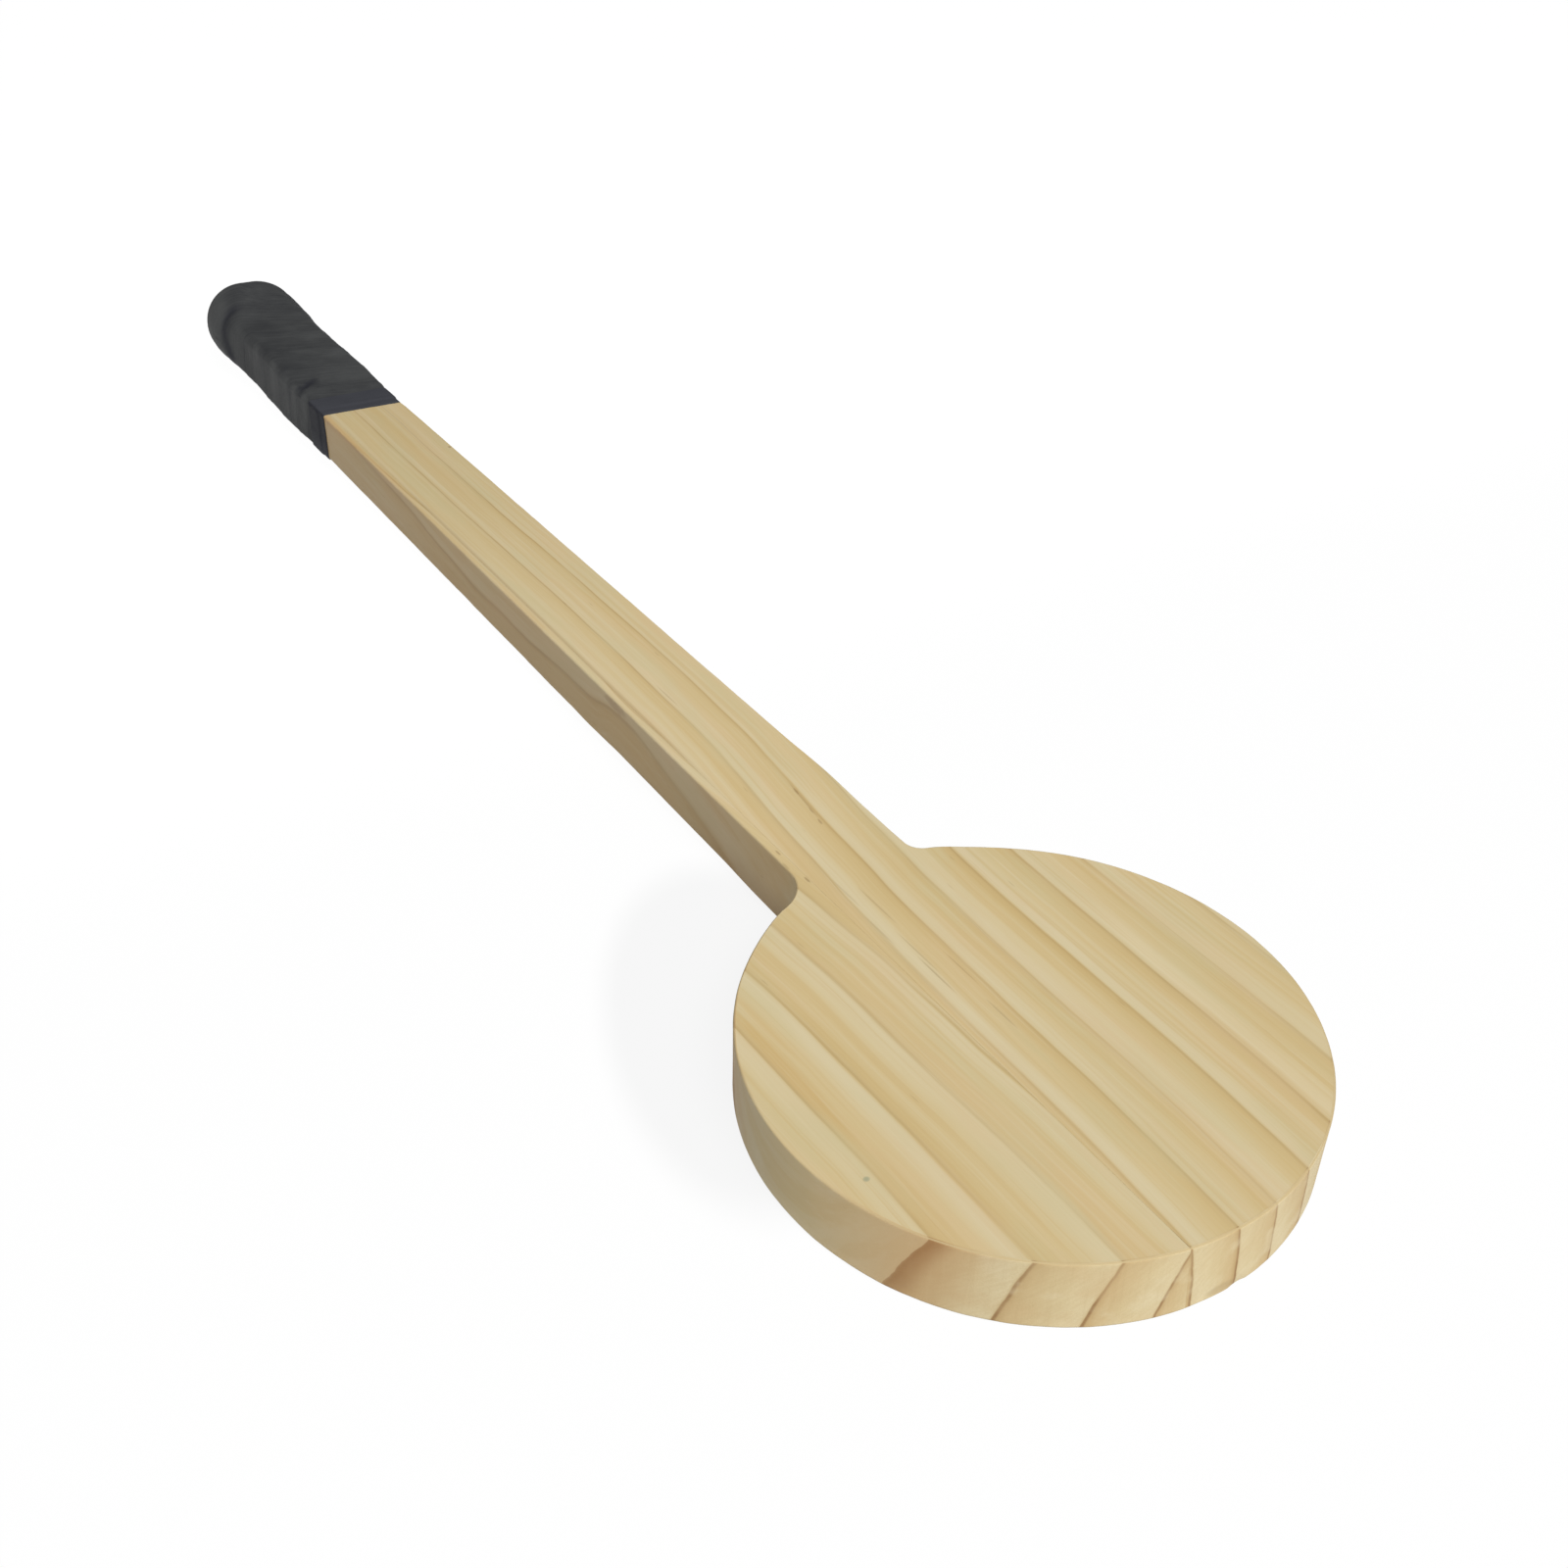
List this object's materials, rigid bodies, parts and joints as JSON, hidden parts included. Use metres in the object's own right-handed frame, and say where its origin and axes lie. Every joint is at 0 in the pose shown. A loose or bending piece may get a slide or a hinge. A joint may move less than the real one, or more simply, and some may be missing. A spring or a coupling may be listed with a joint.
{
  "type": "wooden tennis practice paddle",
  "caption": "Small round wooden hitting head on a long straight wooden handle with a spirally wrapped dark grip and an oval knob at the end.",
  "frame": {"origin": "under the middle of the whole paddle, at the height of the knob's underside", "axes": "+Y along the handle from the head to the knob, +Z out of the front hitting face, +X across the board"},
  "size_m": [0.12, 0.6, 0.0332],
  "materials": {
    "pine": "planed and sanded, satin clear seal",
    "pine_second_stave": "planed and sanded, satin clear seal",
    "cap": "matte",
    "grip_tape": "matte soft-touch polyurethane tape",
    "band_tape": "semi-gloss vinyl tape"
  },
  "bodies": {
    "root": {"stave_wide": "pine", "stave_narrow": "pine_second_stave", "knob_cap": "cap", "overgrip_tape": "grip_tape", "finishing_band": "band_tape"}
  },
  "joints": []
}
